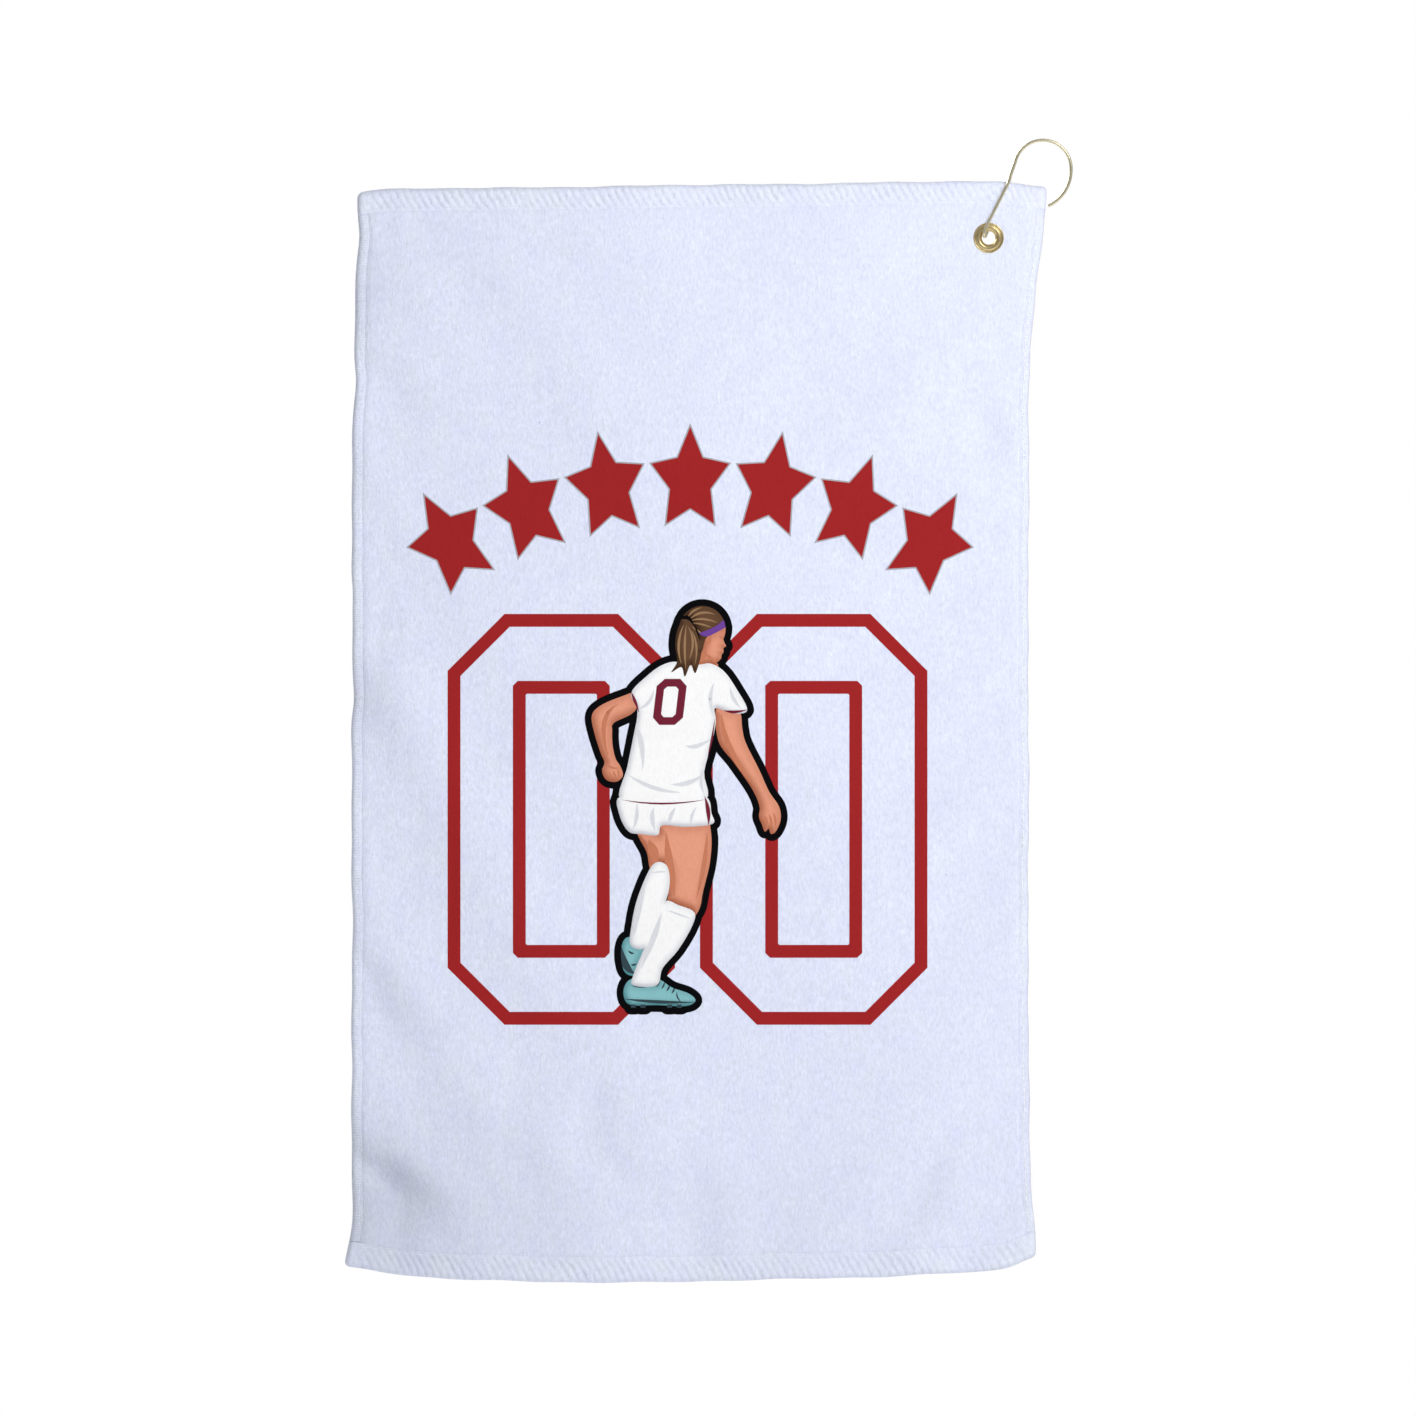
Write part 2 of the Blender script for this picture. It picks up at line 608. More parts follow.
def stitch_line(name, places, side, sunk):
    """One seam's thread on one face: a row of stitches that dip into the cloth at both ends.
    places holds the seam's length, its stitch length, and the plan point and the surface's depth as a
    function of the distance along it. side is -1 in front and 1 behind, and sunk is how deep it lies."""
    length, pitch, at = places
    points, faces, count = [], [], 0
    rows = 9
    share = np.linspace(0, 1, rows)
    for number in range(int(length / pitch)):
        skew = 0.10 * math.sin(number * 2.399)
        t = (number + 0.09 + 0.80 * share) * pitch + skew
        x, z, y = at(t)
        arch = np.sin(math.pi * share) ** 0.6
        path = np.stack([x, y + side * (0.26 * arch - 0.16 - sunk), z + 0.03 * math.sin(number * 1.7)], -1)
        p, f = tube(path, THREAD_R * (0.72 + 0.28 * np.sin(math.pi * share)), 7)
        points.append(p)
        faces += [[k + count for k in face] for face in f]
        count += len(p)
    p = np.concatenate(points)
    obj = make_mesh(name + "_stitches", to_frame(p[:, 0], p[:, 1], p[:, 2]), faces, 60)
    finish_piece(obj, name + "_thread", "towel", "thread", cotton_thread(sunk > 0))


def end_seam(top, front):
    """Length, stitch length and places of the seam along the top or the bottom."""
    width = TOP_HEM if top else BOTTOM_HEM
    inset = width - SEAM_INSET

    def at(t):
        x = -WIDTH / 2 + END_ROOM + t
        z = top_z(x) - inset if top else bottom_z(x) + inset
        surfaces = end_surface(top, x, z, 0 * x + inset, 0 * x + END_ROOM)
        return x, z, surfaces[0 if front else 1]

    return WIDTH - 2 * END_ROOM, 3.3, at


def side_seam(left, front):
    """Length, stitch length and places of the seam down a side."""
    width = LEFT_HEM if left else RIGHT_HEM
    inset = width - SEAM_INSET

    def at(t):
        z = BOTTOM_HEM + SIDE_ROOM + t
        x = left_x(z) + inset if left else right_x(z) - inset
        surfaces = side_surface(left, x, z, 0 * x + inset)
        return x, z, surfaces[0 if front else 1]

    return HEIGHT - TOP_HEM - BOTTOM_HEM - 2 * SIDE_ROOM, 2.6, at


def build_stitches():
    seams = [
        ("top", end_seam, True, 0.12),
        ("bottom", end_seam, False, 0.12),
        ("left", side_seam, True, 0.12),
        ("right", side_seam, False, -0.06),
    ]
    for kind, front, side in (("needle", True, -1), ("bobbin", False, 1)):
        for word, seam, first, sunk in seams:
            stitch_line(f"{word}_{kind}", seam(first, front), side, sunk)


# ----- Print: each ink's CAD shape laid over the cloth -----

# Thickness of one layer of ink, and the size of the cells that bend with the cloth
LAYER = 0.055
CELL, FINE_CELL = 0.002, 0.001
# Where the shaded side of each drawing faces
SHADED = Vector((-0.6, 0, -0.8))


def edge_shade(b, reach):
    """How dark each point of a flat drawing is: dark along its edges, most of all on its shaded side."""
    edges = [e for e in b.edges if e.is_boundary]
    tree = KDTree(len(edges))
    normals = []
    for i, e in enumerate(edges):
        middle = (e.verts[0].co + e.verts[1].co) / 2
        along = (e.verts[1].co - e.verts[0].co).normalized()
        out = Vector((along.z, 0, -along.x))
        normals.append(out if out.dot(middle - e.link_faces[0].calc_center_median()) > 0 else -out)
        tree.insert(Vector((middle.x, 0, middle.z)), i)
    tree.balance()
    shade = []
    for v in b.verts:
        _, i, distance = tree.find(Vector((v.co.x, 0, v.co.z)))
        facing = 0.5 + 0.5 * normals[i].dot(SHADED)
        shade.append((0.25 + 0.75 * facing) * math.exp(-((distance / MM / reach) ** 2)))
    return shade


def film(node, layer, colour, slot, wear=0.03, dark=None, reach=0.0):
    """The front faces of an ink node, cut into small cells and laid on the velour as a thin closed film.
    With a dark colour, the ink shades into it within reach of the drawing's edges."""
    source = frame["nodes"][node].data
    b = bmesh.new()
    b.from_mesh(source)
    bmesh.ops.remove_doubles(b, verts=b.verts, dist=WELD)
    b.normal_update()
    nearest = min(v.co.y for v in b.verts)
    away = [f for f in b.faces if f.normal.y > -0.9 or f.calc_center_median().y > nearest + 1e-5]
    bmesh.ops.delete(b, geom=away, context="FACES")
    bmesh.ops.dissolve_limit(b, angle_limit=0.01, verts=b.verts, edges=b.edges)
    cell = CELL if dark is None else FINE_CELL
    for axis, normal in ((0, (1, 0, 0)), (2, (0, 0, 1))):
        low, high = min(v.co[axis] for v in b.verts), max(v.co[axis] for v in b.verts)
        for k in range(math.ceil(low / cell), math.floor(high / cell) + 1):
            place = Vector((0, 0, 0))
            place[axis] = k * cell + 1e-5
            bmesh.ops.bisect_plane(
                b, geom=b.verts[:] + b.edges[:] + b.faces[:], dist=WELD, plane_co=place, plane_no=normal
            )
    bmesh.ops.triangulate(b, faces=[f for f in b.faces if len(f.verts) > 4])
    shade = b.verts.layers.float.new("shade")
    if dark is not None:
        for v, value in zip(b.verts, edge_shade(b, reach)):
            v[shade] = value
    top = bmesh.ops.extrude_face_region(b, geom=b.faces[:])
    raised = {v for v in top["geom"] if isinstance(v, bmesh.types.BMVert)}
    every = np.array([v.co for v in b.verts]) / MM
    y = face_y(every[:, 0] - SHIFT_X, every[:, 2] - SHIFT_Z)
    for v, surface in zip(b.verts, y):
        v.co.y = (surface - (layer + 1) * LAYER if v in raised else surface + 0.12) * MM
    bmesh.ops.recalc_face_normals(b, faces=b.faces)
    mesh = bpy.data.meshes.new(node + "_film")
    b.to_mesh(mesh)
    b.free()
    finish_piece(show(mesh, 45), node, "towel", slot, ink(slot, colour, wear, dark))


def build_print():
    crimson = (0.325, 0.0185, 0.0200)
    film("print_star_outlines", 0, (0.37, 0.36, 0.40), "grey_ink")
    for node in ("print_stars", "print_numeral_left", "print_numeral_right"):
        film(node, 0, crimson, "crimson_ink", 0.06)
    film("print_figure_keyline", 0, (0.003, 0.003, 0.004), "black_ink", 0.01)
    film("print_figure_kit", 1, (0.88, 0.88, 0.885), "white_ink", 0.02, (0.46, 0.47, 0.52), 1.5)
    film("print_figure_skin", 1, (0.74, 0.318, 0.205), "skin_ink", 0.02, (0.36, 0.11, 0.058), 2.5)
    film("print_figure_boots", 1, (0.23, 0.49, 0.52), "teal_ink", 0.02, (0.06, 0.20, 0.23), 1.8)
    film("print_figure_hair", 2, (0.125, 0.064, 0.034), "brown_ink", 0.02, (0.035, 0.016, 0.009), 2.2)
    film("print_figure_headband", 3, (0.145, 0.055, 0.30), "purple_ink")
    film("print_figure_trim", 2, (0.16, 0.017, 0.035), "maroon_ink")
    film("print_figure_folds", 2, (0.66, 0.67, 0.71), "pale_grey_ink")
    film("print_figure_skin_shade", 2, (0.53, 0.19, 0.105), "skin_shade_ink")
    film("print_figure_hair_strands", 3, (0.30, 0.18, 0.095), "fair_hair_ink")
    film("print_figure_boot_detail", 2, (0.035, 0.06, 0.075), "slate_ink")


# ----- Grommet -----


def revolve(name, profile):
    """A ring round the grommet's axis from a closed profile of radius and depth."""
    segments, n = 112, len(profile)
    turn = np.arange(segments) * 2 * math.pi / segments
    dent = 1 + 0.006 * np.sin(3 * turn + 0.7) + 0.004 * np.sin(5 * turn + 2.1)
    r = HOLE_R + (profile[None, :, 0] - HOLE_R) * dent[:, None]
    x = GROMMET_X + r * np.cos(turn)[:, None]
    z = GROMMET_Z + r * np.sin(turn)[:, None]
    y = np.repeat(profile[None, :, 1], segments, 0)
    i, j = np.meshgrid(np.arange(segments), np.arange(n), indexing="ij")
    following, beyond = (i + 1) % segments, (j + 1) % n
    faces = np.stack([i * n + j, following * n + j, following * n + beyond, i * n + beyond], -1)
    faces = faces.reshape(-1, 4)
    obj = make_mesh(name, to_frame(x, y, z), faces)
    b = bmesh.new()
    b.from_mesh(obj.data)
    bmesh.ops.recalc_face_normals(b, faces=b.faces)
    b.to_mesh(obj.data)
    b.free()
    smooth(obj, 50)
    return obj


def arc(cx, cy, rx, ry, a, b, n):
    """n points of an ellipse from angle a to angle b, in degrees."""
    t = np.radians(np.linspace(a, b, n))
    return np.stack([cx + rx * np.cos(t), cy + ry * np.sin(t)], -1)


def build_grommet():
    """The eyelet, pressed on the cloth's face and curled over behind, and the washer under the curl."""
    seat = FRONT_Y + CRIMP
    washer_top = BACK_Y - CRIMP + 0.6
    barrel = HOLE_R + BARREL
    # The rolled ring round the hole stands on a lower rim, and the barrel narrows a little on its way back.
    ring_r, neck_r = 2.25, HOLE_R - 0.42
    roll = (ring_r - 0.05) / 2
    eyelet = np.concatenate([
        arc(HOLE_R + 0.05 + roll, seat, roll, FLANGE_H, 180, 342, 30),
        arc(HOLE_R + ring_r + 0.12, seat - 0.13, 0.12, 0.08, 160, 90, 4),
        arc(FLANGE_R - 0.35, seat - 0.02, 0.35, 0.30, 270, 360, 9),
        arc(FLANGE_R - 0.22, seat + 0.02, 0.22, 0.14, 10, 90, 5),
        [[barrel + 0.5, seat + 0.1]],
        arc(barrel + 0.35, seat + 0.45, 0.35, 0.35, 270, 180, 5),
        [[barrel, washer_top - 0.1], [barrel + 0.1, washer_top]],
        arc(HOLE_R + 0.9, washer_top + 0.27, 0.32, 0.27, -60, 90, 8),
        arc(neck_r + 0.7, washer_top + 0.14, 0.7, 0.4, 90, 180, 8),
        [[neck_r, BACK_Y - 1.2], [neck_r + 0.1, seat + 0.5], [HOLE_R - 0.1, seat + 0.15]],
    ])
    look = brass("grommet_brass", (0.74, 0.595, 0.31), 0.27, 0.9)
    finish_piece(revolve("eyelet", eyelet), "grommet_eyelet", "towel", "grommet_brass", look)
    low = BACK_Y - CRIMP
    inner = barrel + 0.05
    washer = np.concatenate([
        [[inner, low], [FLANGE_R - 0.5, low]],
        arc(FLANGE_R - 0.35, low + 0.3, 0.3, 0.3, -80, 80, 10),
        arc(FLANGE_R - 1.3, low + 0.42, 0.7, 0.17, 60, 120, 6),
        [[inner + 0.3, low + 0.55], [inner, low + 0.5]],
    ])
    look = brass("washer_brass", (0.64, 0.49, 0.22), 0.32, 1.0)
    finish_piece(revolve("washer", washer), "grommet_washer", "towel", "grommet_brass", look)


# ----- Hook -----


def bezier(p, n):
    """A curve from p[0] to p[3] that leaves out its first point."""
    t = np.linspace(0, 1, n)[1:, None]
    p = [np.asarray(q, float) for q in p]
    return (1 - t) ** 3 * p[0] + 3 * t * (1 - t) ** 2 * p[1] + 3 * t * t * (1 - t) * p[2] + t ** 3 * p[3]


def hook_path():
    """The wire's centre line in the part's frame, in mm, from the free end of the arc to the catch.
    at(u, s, y) is a point u along the leg from the hole, s beside it and at depth y."""
    up = np.array([math.sin(HOOK_LEAN), 0, math.cos(HOOK_LEAN)])
    side = np.array([math.cos(HOOK_LEAN), 0, -math.sin(HOOK_LEAN)])
    centre = np.array([swing["pos_m"][0], 0, swing["pos_m"][2]]) / MM

    def at(u, s, y):
        return centre + u * up + s * side + np.array([0, y, 0])

    tail, end = math.radians(-81.6), math.radians(165)
    a = np.linspace(tail, end, 120)
    r = ARC_R + np.where(a < 0, TAIL_DRIFT * np.abs(a / tail) ** 1.8, 0)
    arc_points = np.stack([r * np.cos(a), 0 * a, r * np.sin(a)], -1)
    neck = at(LEG_L, -LEG_OFFSET, 0)
    pull = 2 * np.array([-math.sin(end), 0, math.cos(end)])
    low = at(3.4, -LEG_OFFSET, 0)
    into, out = at(-0.2, -1.9, FRONT_Y + 0.4), at(-0.2, -1.5, BACK_Y - 0.4)
    back_low = at(7, -1.9, BACK_LEG_Y)
    catch = neck + np.array([0.3, 0, 1.3])
    top_back = catch + np.array([-0.6, BACK_LEG_Y, -2])
    over = catch + np.array([0, BACK_LEG_Y, 0])
    path = np.concatenate([
        arc_points,
        bezier([arc_points[-1], arc_points[-1] + pull, neck + [0.4, 0, 2.6], neck + [0.08, 0, 0.6]], 12),
        [neck, at(LEG_L / 2, -LEG_OFFSET, 0), low],
        bezier([low, at(1.2, -LEG_OFFSET, -0.1), [into[0], -0.6, into[2]], into], 14),
        [out],
        bezier([out, [out[0], BACK_LEG_Y + 0.4, out[2]], at(3, -1.6, BACK_LEG_Y + 0.2), back_low], 14),
        [top_back],
        bezier([top_back, over, over, over - [0, 3, 0]], 12),
        [catch + [0, 2 * WIRE_R + 0.15, 0]],
    ])
    return resample(path, 0.3, 5)


def resample(path, step, rounding):
    """Even steps along a path, with its kinks slightly rounded."""
    length = np.concatenate([[0], np.cumsum(np.linalg.norm(np.diff(path, axis=0), axis=1))])
    t = np.linspace(0, length[-1], int(length[-1] / step))
    path = np.stack([np.interp(t, length, path[:, k]) for k in range(3)], -1)
    for _ in range(rounding):
        path[1:-1] = 0.25 * path[:-2] + 0.5 * path[1:-1] + 0.25 * path[2:]
    return path


def build_hook():
    path = hook_path()
    # Two close rings at each end make the small chamfer of a cut wire.
    second, next_last = path[0] + 0.3 * (path[1] - path[0]), path[-1] - 0.3 * (path[-1] - path[-2])
    path = np.concatenate([path[:1], [second], path[1:-1], [next_last], path[-1:]])
    taper = np.ones(len(path))
    taper[[0, -1]] = 0.72
    points, faces = tube(path, WIRE_R * taper, 20)
    obj = make_mesh("hook_wire", points * MM, faces)
    look = brass("hook_wire_brass", (0.85, 0.78, 0.55), 0.30, 0.3)
    finish_piece(obj, "wire_hook", "hook", "hook_wire", look)


# ----- Materials -----

made = {}


def cached(build):
    """Each material is made once."""
    def wrapper(*args):
        key = (build.__name__,) + args
        if key not in made:
            made[key] = build(*args)
        return made[key]
    return wrapper


class Shader:
    """A material and short ways to add the nodes that the materials below share."""

    def __init__(self, name, roughness, metallic=0.0):
        self.material = bpy.data.materials.new(name)
        self.material.use_nodes = True
        self.tree = self.material.node_tree
        self.bsdf = self.tree.nodes["Principled BSDF"]
        self.bsdf.inputs["Roughness"].default_value = roughness
        self.bsdf.inputs["Metallic"].default_value = metallic
        self.place = self.add("ShaderNodeTexCoord").outputs["Object"]

    def add(self, kind, **settings):
        node = self.tree.nodes.new(kind)
        for key, value in settings.items():
            setattr(node, key, value)
        return node

    def link(self, a, b):
        self.tree.links.new(a, b)

    def put(self, value, socket):
        """Links a socket, or sets it to a number or a colour."""
        if isinstance(value, bpy.types.NodeSocket):
            self.link(value, socket)
        else:
            socket.default_value = (*value, 1) if isinstance(value, tuple) else value

    def texture(self, kind, scale, **settings):
        """A texture with its scale per metre along each axis."""
        node = self.add(kind, **settings)
        stretch = self.add("ShaderNodeVectorMath", operation="MULTIPLY")
        self.link(self.place, stretch.inputs[0])
        stretch.inputs[1].default_value = scale
        self.link(stretch.outputs[0], node.inputs["Vector"])
        node.inputs["Scale"].default_value = 1.0
        return node

    def noise(self, scale, detail, rough, seed):
        node = self.texture("ShaderNodeTexNoise", scale, noise_dimensions="4D")
        for name, value in (("Detail", detail), ("Roughness", rough), ("W", seed)):
            node.inputs[name].default_value = value
        return node.outputs["Fac"]

    def math(self, operation, a, b):
        node = self.add("ShaderNodeMath", operation=operation)
        self.put(a, node.inputs[0])
        self.put(b, node.inputs[1])
        return node.outputs[0]

    def times(self, a, b):
        return self.math("MULTIPLY", a, b)

    def around(self, value, amount):
        """A factor round 1 from a value round 0.5."""
        return self.math("ADD", self.times(self.math("SUBTRACT", value, 0.5), amount), 1.0)

    def step(self, value, low, high):
        """Rises softly from 0 at low to 1 at high."""
        node = self.add("ShaderNodeMapRange", interpolation_type="SMOOTHSTEP")
        self.link(value, node.inputs["Value"])
        node.inputs["From Min"].default_value = low
        node.inputs["From Max"].default_value = high
        return node.outputs["Result"]

    def mix(self, fac, a, b):
        node = self.add("ShaderNodeMix", data_type="RGBA")
        sockets = [s for s in node.inputs if s.type == "RGBA"]
        self.link(fac, node.inputs[0])
        self.put(a, sockets[0])
        self.put(b, sockets[1])
        return [s for s in node.outputs if s.type == "RGBA"][0]

    def brightness(self, colour, factor):
        """A colour times a factor."""
        node = self.add("ShaderNodeHueSaturation")
        self.put(colour, node.inputs["Color"])
        self.link(factor, node.inputs["Value"])
        return node.outputs["Color"]

    def bump(self, height, distance, strength):
        node = self.add("ShaderNodeBump")
        self.link(height, node.inputs["Height"])
        node.inputs["Distance"].default_value = distance
        node.inputs["Strength"].default_value = strength
        return node.outputs["Normal"]

    def finish(self, colour=None, normal=None, roughness=None, sheen=None, specular=0.15):
        for name, value in (("Base Color", colour), ("Normal", normal), ("Roughness", roughness)):
            if value is not None:
                self.link(value, self.bsdf.inputs[name])
        if sheen:
            self.bsdf.inputs["Sheen Weight"].default_value = sheen[0]
            self.bsdf.inputs["Sheen Roughness"].default_value = sheen[1]
            self.bsdf.inputs["Specular IOR Level"].default_value = specular
        return self.material


CLOTH_COLOUR = (0.694, 0.732, 0.884)
HEM_COLOUR = (0.725, 0.762, 0.900)


def scaled(colour, factors):
    return tuple(c * f for c, f in zip(colour, factors))


def pile(shader):
    """Height of the cut pile: short upright streaks with soft tufts between them."""
    streaks = shader.noise((1250, 900, 430), 2, 0.6, 1.0)
    tufts = shader.noise((1500, 1500, 1100), 2, 0.55, 2.0)
    return shader.math("ADD", shader.times(streaks, 0.65), shader.times(tufts, 0.35))


@cached
def velour():
    s = Shader("velour_pile", 0.96)
    height = pile(s)
    colour = lint(s, cloth_shades(s, height, CLOTH_COLOUR))
    return s.finish(colour, s.bump(height, 0.0006, 0.55), sheen=(0.12, 0.6))


def cloth_shades(s, height, colour):
    """The cloth's colour with its lit and shaded tufts, its clouds, and patches of greyer or bluer cloth."""
    clouds = s.noise((24, 24, 24), 3, 0.55, 3.0)
    shades = s.noise((820, 820, 430), 2, 0.6, 4.0)
    patches = s.noise((130, 130, 90), 2, 0.5, 5.0)
    factor = s.times(s.around(height, 0.40), s.around(clouds, 0.06))
    factor = s.times(factor, s.around(shades, 0.32))
    bluer, greyer = scaled(colour, (0.99, 0.98, 1.012)), scaled(colour, (1.01, 1.02, 0.985))
    tinted = s.mix(s.step(patches, 0.3, 0.7), bluer, greyer)
    shade = s.add("ShaderNodeAttribute", attribute_name="shade").outputs["Fac"]
    return s.brightness(tinted, s.times(factor, s.math("SUBTRACT", 1.0, shade)))


def lint(s, colour):
    """A few tiny specks of coloured lint caught in the pile."""
    cells = s.texture("ShaderNodeTexVoronoi", (34, 34, 34), feature="F1")
    near = s.math("SUBTRACT", 1.0, s.step(cells.outputs["Distance"], 0.008, 0.016))
    split = s.add("ShaderNodeSeparateColor")
    s.link(cells.outputs["Color"], split.inputs["Color"])
    chosen = s.math("GREATER_THAN", split.outputs[0], 0.55)
    return s.mix(s.times(near, s.times(chosen, 0.7)), colour, (0.34, 0.20, 0.30))


@cached
def terry():
    s = Shader("terry_loops", 0.97)
    loops = s.texture("ShaderNodeTexVoronoi", (620, 620, 760), feature="SMOOTH_F1")
    loops.inputs["Smoothness"].default_value = 0.35
    height = s.math("SUBTRACT", 1.0, loops.outputs["Distance"])
    fibres = s.noise((2600, 2600, 2600), 2, 0.6, 6.0)
    height = s.math("ADD", height, s.times(fibres, 0.25))
    factor = s.times(s.around(height, 0.34), s.around(s.noise((26, 26, 26), 3, 0.5, 7.0), 0.05))
    return s.finish(s.brightness((0.67, 0.705, 0.85), factor), s.bump(height, 0.0014, 0.9), sheen=(0.1, 0.6))


@cached
def hem_weave(upright):
    """The flat woven hem: plain weave with rows along the hem."""
    s = Shader("hem_weave_side" if upright else "hem_weave_end", 0.9)
    yarns = s.noise((1300, 900, 2500) if upright else (2500, 900, 1300), 2, 0.55, 8.0)
    fine = s.noise((3200, 3200, 3200), 1, 0.5, 9.0)
    height = s.math("ADD", s.times(yarns, 0.7), s.times(fine, 0.3))
    return s.finish(cloth_shades(s, height, HEM_COLOUR), s.bump(height, 0.0004, 0.6), sheen=(0.08, 0.5))


@cached
def cotton_thread(dull):
    """White thread, or thread that has taken the cloth's own tint."""
    s = Shader("cotton_thread_dull" if dull else "cotton_thread", 0.7)
    twist = s.texture("ShaderNodeTexWave", (900, 900, 900), wave_type="BANDS", bands_direction="DIAGONAL")
    twist.inputs["Distortion"].default_value = 1.5
    colour = s.brightness(HEM_COLOUR if dull else (0.92, 0.94, 0.99), s.around(twist.outputs["Fac"], 0.12))
    return s.finish(colour, s.bump(twist.outputs["Fac"], 0.0001, 0.8), sheen=(0.1, 0.4))


@cached
def ink(slot, colour, wear, dark):
    """Ink on velour: the pile's streaks show through, with slight wear where fibre tips stand up."""
    s = Shader(slot, 0.82)
    height = pile(s)
    tips = s.step(s.noise((1700, 900, 500), 2, 0.6, 11.0), 0.66, 0.86)
    clouds = s.noise((40, 40, 40), 2, 0.5, 12.0)
    factor = s.times(s.around(height, 0.24), s.around(clouds, 0.05))
    if dark is not None:
        shade = s.add("ShaderNodeAttribute", attribute_name="shade").outputs["Fac"]
        colour = s.mix(shade, colour, dark)
    worn = s.mix(s.times(tips, wear), s.brightness(colour, factor), CLOTH_COLOUR)
    return s.finish(worn, s.bump(height, 0.0005, 0.4), sheen=(0.0, 0.5), specular=0.03)


@cached
def brass(name, colour, roughness, tarnish):
    """Plated brass with hairline scratches, faint spots and browner colour where it has tarnished."""
    s = Shader(name, roughness, 1.0)
    blotches = s.noise((700, 700, 700), 3, 0.6, 13.0)
    hairlines = s.noise((2600, 400, 1300), 2, 0.5, 14.0)
    dark = scaled(colour, (0.50, 0.42, 0.36))
    worn = s.mix(s.times(s.step(blotches, 0.50, 0.78), 0.55 * tarnish), colour, dark)
    worn = s.brightness(worn, s.around(hairlines, 0.10))
    rough = s.math("ADD", s.times(blotches, 0.22), roughness - 0.08)
    height = s.math("ADD", s.times(hairlines, 0.5), s.times(blotches, 0.5))
    return s.finish(worn, s.bump(height, 0.00002, 0.25), rough)


# ----- Stage -----


def build_floor():
    """A wide sheet of pale paper below the towel."""
    drop, size, count = 0.075, 6.0, 9
    z = cad_low.z - drop
    centre = (cad_low + cad_high) / 2
    t = np.linspace(-size / 2, size / 2, count)
    gx, gy = np.meshgrid(t, t, indexing="ij")
    points = np.stack([gx + centre.x, gy + centre.y, np.full_like(gx, z)], -1).reshape(-1, 3)
    floor = make_mesh("floor", points, grid_quads(count, count))
    s = Shader("floor_paper", 0.9)
    factor = s.around(s.noise((3, 3, 3), 2, 0.5, 15.0), 0.01)
    s.finish(s.brightness((0.93, 0.93, 0.935), factor))
    # The camera sees mostly an even pale glow, so that the floor meets the white background softly.
    glow = s.add("ShaderNodeEmission")
    glow.inputs["Color"].default_value = (0.96, 0.96, 0.962, 1)
    seen = s.times(s.add("ShaderNodeLightPath").outputs["Is Camera Ray"], 0.85)
    mixed = s.add("ShaderNodeMixShader")
    for socket, value in zip(mixed.inputs, (seen, s.bsdf.outputs[0], glow.outputs[0])):
        s.link(value, socket)
    s.link(mixed.outputs[0], s.tree.nodes["Material Output"].inputs["Surface"])
    floor.data.materials.append(s.material)


def area_light(name, place, target, size, power):
    """A square lamp that faces its target, with its size in metres and its power in watts."""
    data = bpy.data.lights.new(name, "AREA")
    data.shape, data.size, data.energy = "SQUARE", size, power
    lamp = bpy.data.objects.new(name, data)
    lamp.location = place
    lamp.rotation_euler = (Vector(target) - Vector(place)).to_track_quat("-Z", "Y").to_euler()
    bpy.context.scene.collection.objects.link(lamp)
    return lamp


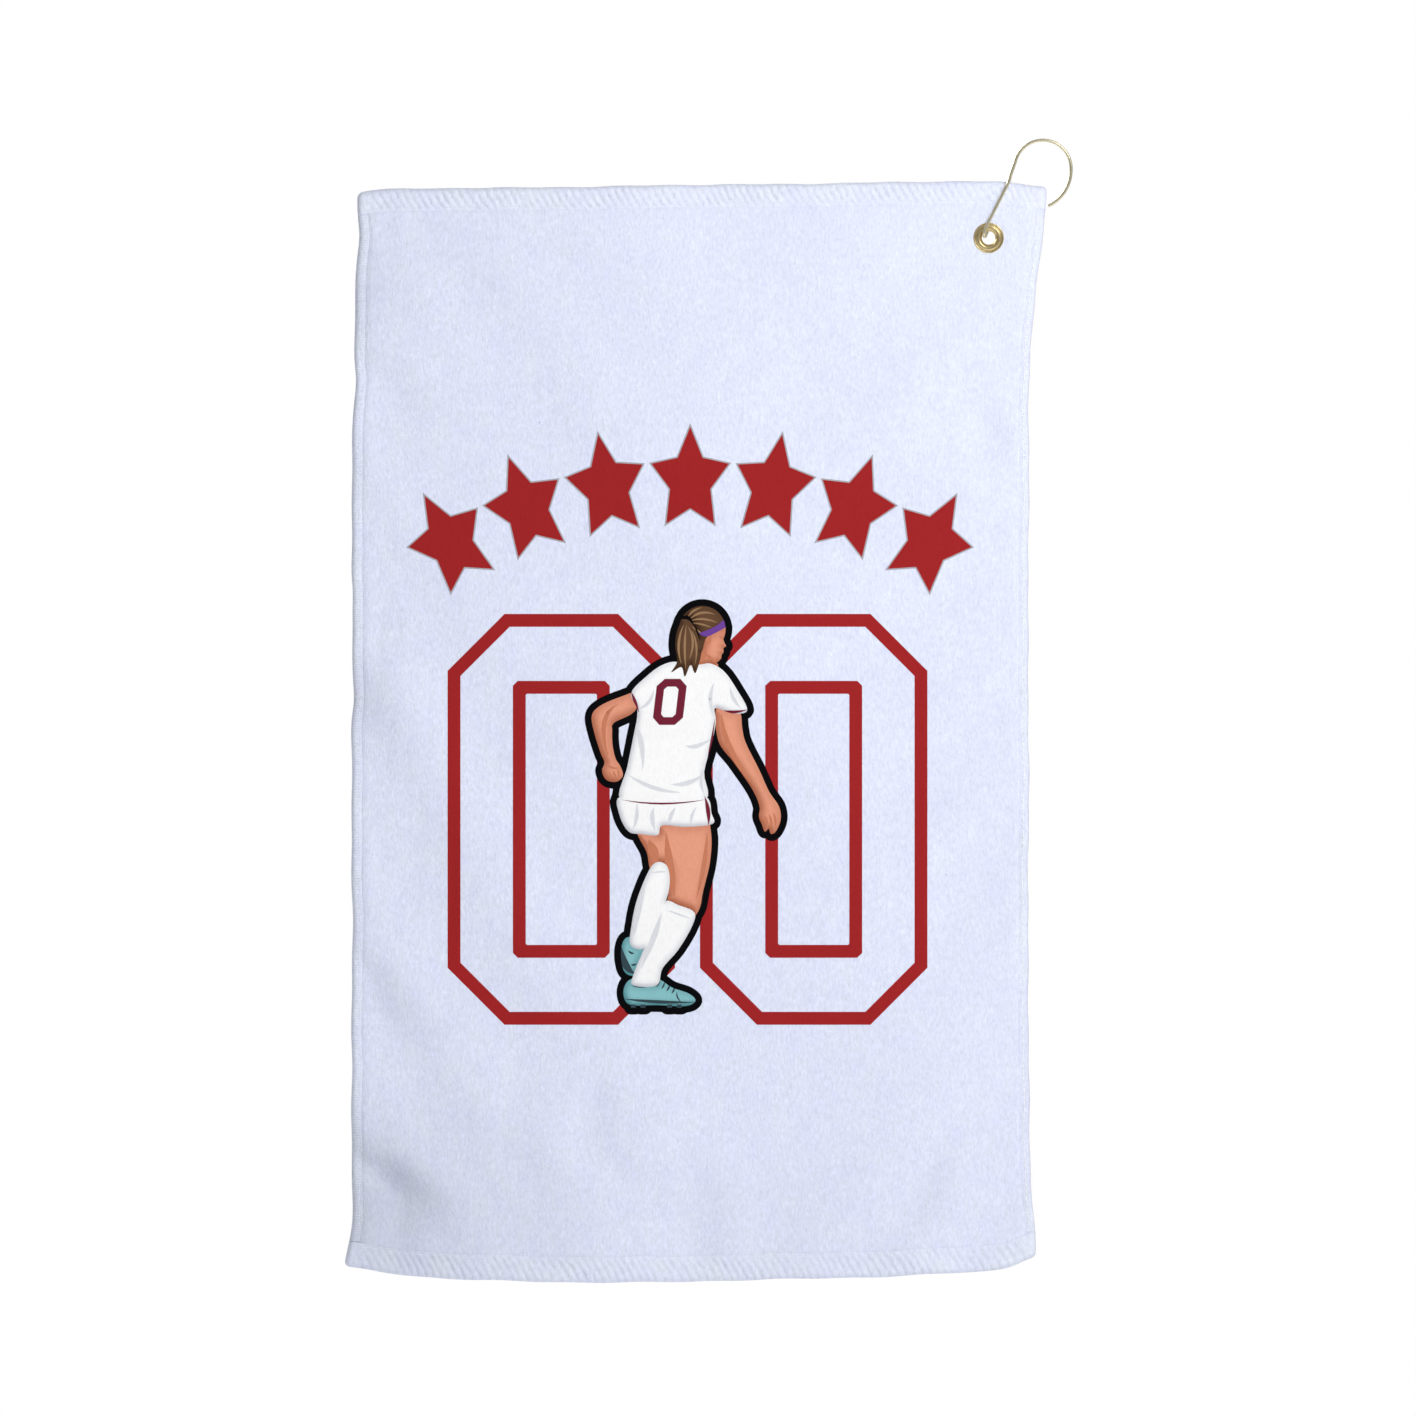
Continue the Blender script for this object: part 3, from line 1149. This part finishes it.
def build_world():
    """White for the camera; for the light, bright above and to the right and dimmer below and to the left."""
    world = bpy.data.worlds.new("studio")
    bpy.context.scene.world = world
    world.use_nodes = True
    tree = world.node_tree
    tree.nodes.clear()
    new = tree.nodes.new
    direction = new("ShaderNodeTexCoord").outputs["Generated"]
    dot = new("ShaderNodeVectorMath")
    dot.operation = "DOT_PRODUCT"
    tree.links.new(direction, dot.inputs[0])
    dot.inputs[1].default_value = Vector((0.5, 0.0, 0.87)).normalized()
    ramp = new("ShaderNodeMapRange")
    tree.links.new(dot.outputs["Value"], ramp.inputs["Value"])
    for name, value in (("From Min", -0.8), ("From Max", 0.9), ("To Min", 0.190), ("To Max", 0.568)):
        ramp.inputs[name].default_value = value
    light, seen = new("ShaderNodeBackground"), new("ShaderNodeBackground")
    tree.links.new(ramp.outputs["Result"], light.inputs["Strength"])
    seen.inputs["Color"].default_value = (1, 1, 1, 1)
    camera_ray = new("ShaderNodeLightPath").outputs["Is Camera Ray"]
    mix, out = new("ShaderNodeMixShader"), new("ShaderNodeOutputWorld")
    for socket, value in zip(mix.inputs, (camera_ray, light.outputs[0], seen.outputs[0])):
        tree.links.new(value, socket)
    tree.links.new(mix.outputs[0], out.inputs[0])


def build_stage():
    """Light, floor and a level camera straight in front of the towel."""
    scene = bpy.context.scene
    scene.view_settings.view_transform = "Standard"
    build_world()
    centre = (cad_low + cad_high) / 2
    area_light("key", centre + Vector((0.60, -0.72, 0.68)), centre, 0.45, 3.75)
    front_fill = area_light("front_fill", centre + Vector((0.26, -0.80, 0.22)), centre, 0.4, 3.3)
    front_fill.visible_glossy = False
    area_light("back_fill", centre + Vector((-0.9, 1.5, 0.8)), centre, 1.0, 26.0)
    build_floor()
    # The frame's middle, as shares of the towel's own box, and the width of the whole picture
    low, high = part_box("towel_panel")
    middle = Vector((low.x + 0.5177 * (high.x - low.x), 0, low.z + 0.5216 * (high.z - low.z)))
    data = bpy.data.cameras.new("camera")
    data.type, data.ortho_scale = "ORTHO", 1.2860 * (high.z - low.z)
    data.clip_start, data.clip_end = 0.01, 50
    camera = bpy.data.objects.new("camera", data)
    camera.location = middle + Vector((0, -3, 0))
    camera.rotation_euler = (math.pi / 2, 0, 0)
    scene.collection.objects.link(camera)
    scene.camera = camera


drape["depth"] = simulate_drape()
build_cloth()
for is_top in (True, False):
    build_end_hem(is_top)
for is_left in (True, False):
    build_side_hem(is_left)
build_stitches()
build_print()
build_grommet()
build_hook()
build_stage()
